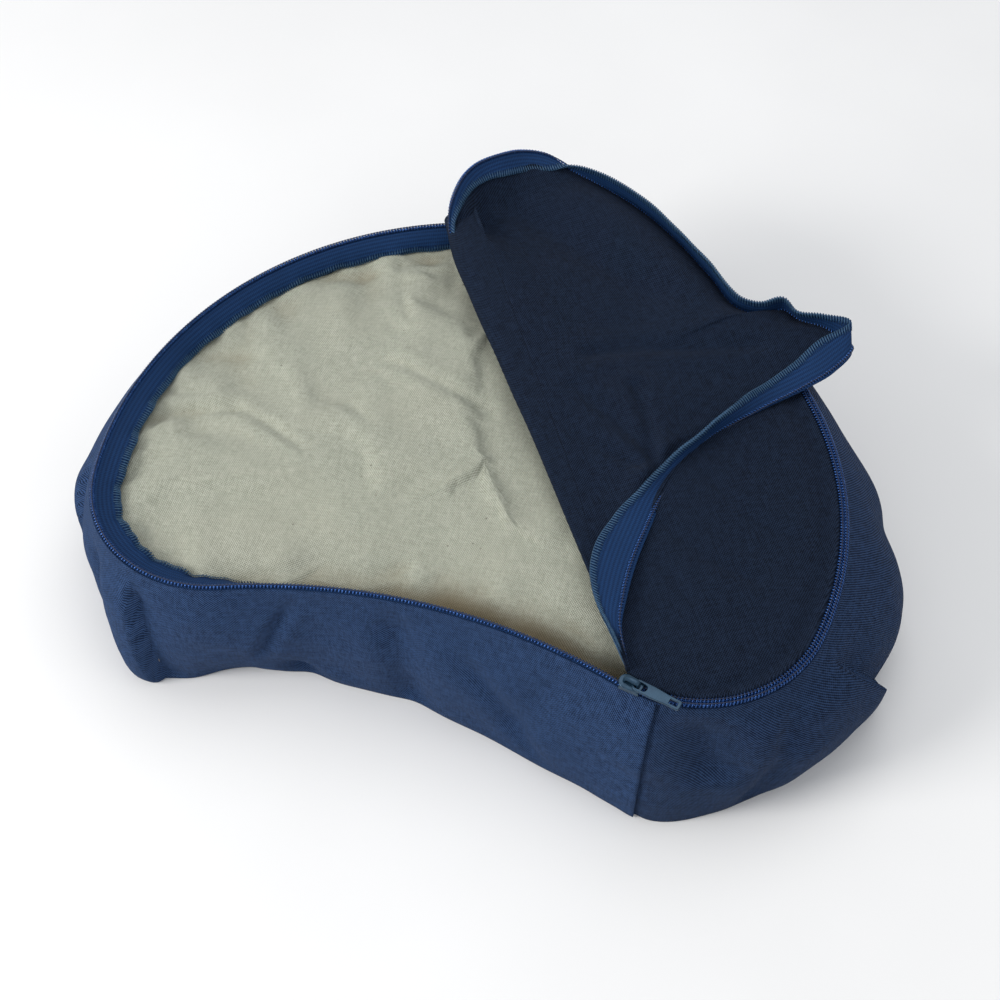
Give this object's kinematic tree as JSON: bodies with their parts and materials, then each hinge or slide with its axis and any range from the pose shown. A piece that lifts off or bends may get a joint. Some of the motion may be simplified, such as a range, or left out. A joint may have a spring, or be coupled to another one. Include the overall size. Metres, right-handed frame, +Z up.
{
  "type": "crescent support cushion",
  "caption": "Crescent-shaped support cushion with a zipped cloth cover, opened and folded back to show the inner cushion.",
  "frame": {"origin": "bottom centre of the bounding box, on the floor under the cushion, cover opened as stored", "axes": "+X along the cushion's long axis towards the lobe whose zip is closed, +Z up; -Y faces the hollow side of the crescent"},
  "size_m": [0.5084, 0.416, 0.1408],
  "materials": {
    "cover_twill": "navy cotton twill, fine weave, matt",
    "case_calico": "unbleached cotton calico with flecks, matt",
    "hulls": "loose dark hulls",
    "zip_tape": "royal blue woven tape",
    "zip_coil": "dark blue nylon coil, slight gloss",
    "zip_metal": "steel blue enamel on die-cast metal"
  },
  "bodies": {
    "cushion": {"cover_bottom": "cover_twill", "cover_side_right": "cover_twill", "cover_side_left": "cover_twill", "cover_top_closed": "cover_twill", "inner_case_bottom": "case_calico", "inner_case_side": "case_calico", "inner_case_top": "case_calico", "hull_filling": "hulls", "zip_tape_side": "zip_tape", "zip_tape_top_closed": "zip_tape", "zip_coil_side_open": "zip_coil", "zip_coil_side_closed": "zip_coil", "zip_coil_top_closed": "zip_coil", "zip_bottom_stop": "zip_metal", "zip_top_stop_side": "zip_metal"},
    "flap": {"cover_flap": "cover_twill", "zip_tape_flap_back": "zip_tape", "zip_tape_flap_front": "zip_tape", "zip_coil_flap_back": "zip_coil", "zip_coil_flap_front": "zip_coil"},
    "flap_end": {"cover_flap_end": "cover_twill", "zip_tape_flap_end": "zip_tape", "zip_coil_flap_end": "zip_coil"},
    "slider": {"zip_slider": "zip_metal", "zip_slider_bridge": "zip_metal"},
    "puller": {"zip_puller": "zip_metal"}
  },
  "joints": [
    {"name": "flap_fold", "type": "hinge", "parent": "cushion", "child": "flap", "pos_m": [0.01916, -0.01346, 0.115], "axis": [0.5151, -0.8571, 0], "range_deg": [0, 180]},
    {"name": "flap_spread", "type": "slide", "parent": "flap", "child": "flap_end", "axis": [0.8509, 0.5114, -0.1203], "range_m": [0, 0.0665]},
    {"name": "slider_travel", "type": "hinge", "parent": "cushion", "child": "slider", "pos_m": [0.13925, -0.10475, 0.115], "axis": [0, 0, 1], "range_deg": [0, 87]},
    {"name": "puller_swing", "type": "hinge", "parent": "slider", "child": "puller", "pos_m": [0.12063, -0.18058, 0.1104], "axis": [-0.2588, -0.9659, 0], "range_deg": [0, 160]}
  ],
  "couplings": [
    {"joint": "flap_spread", "follows": "flap_fold", "m_per_rad": 0.021162}
  ]
}
